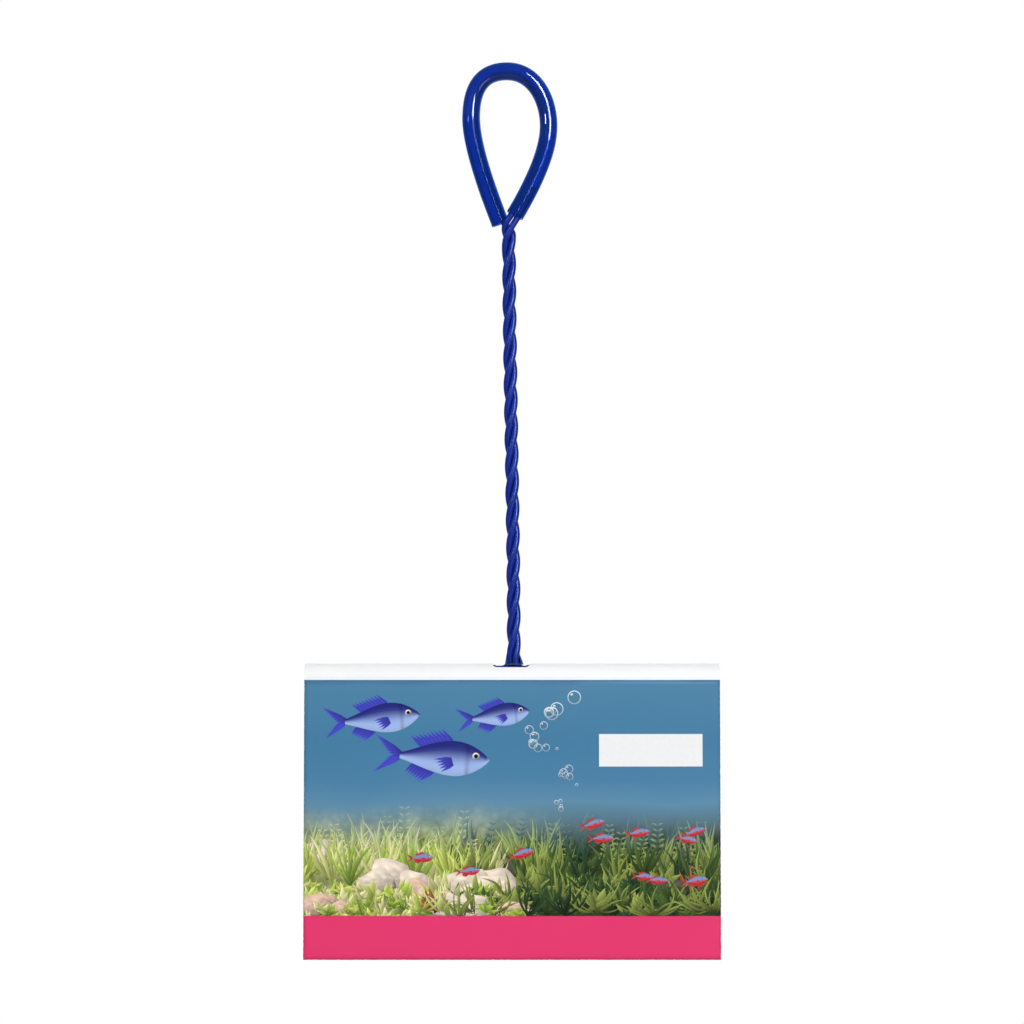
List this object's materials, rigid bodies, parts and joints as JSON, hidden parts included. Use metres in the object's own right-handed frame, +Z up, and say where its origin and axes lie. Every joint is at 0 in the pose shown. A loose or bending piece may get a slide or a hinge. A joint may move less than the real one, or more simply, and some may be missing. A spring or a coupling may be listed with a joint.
{
  "type": "aquarium fish net",
  "caption": "Aquarium fish net with a looped grip, a twisted wire handle, a rectangular wire frame with a folded mesh bag, and a card sleeve that slides up the handle.",
  "frame": {"origin": "the hang point: the inside of the grip loop at its top, where a peg carries the net", "axes": "+Z up along the handle, +X to the right across the frame as seen from the front, -Y out of the front of the card"},
  "size_m": [0.2576, 0.035, 0.5562],
  "materials": {
    "coated_wire": "gloss",
    "grip_vinyl": "gloss",
    "hem_cloth": "matte",
    "net_mesh": "matte",
    "plain_board": "matte",
    "printed_board": "satin"
  },
  "bodies": {
    "net": {"grip_tube": "grip_vinyl", "grip_wire": "coated_wire", "grip_stub": "coated_wire", "strand_left": "coated_wire", "strand_right": "coated_wire", "strand_cut": "coated_wire", "frame_top_left": "coated_wire", "frame_left_side": "coated_wire", "frame_bottom": "coated_wire", "frame_right_side": "coated_wire", "frame_top_right": "coated_wire", "net_hem": "hem_cloth", "net_gather": "hem_cloth", "net_bag": "net_mesh"},
    "sleeve": {"sleeve_fold": "plain_board", "sleeve_front": "printed_board", "sleeve_back": "printed_board", "sleeve_left_side": "plain_board", "sleeve_right_side": "plain_board"}
  },
  "joints": [
    {"name": "sleeve_slide", "type": "slide", "parent": "net", "child": "sleeve", "axis": [0, 0, 1], "range_m": [0, 0.26]}
  ]
}
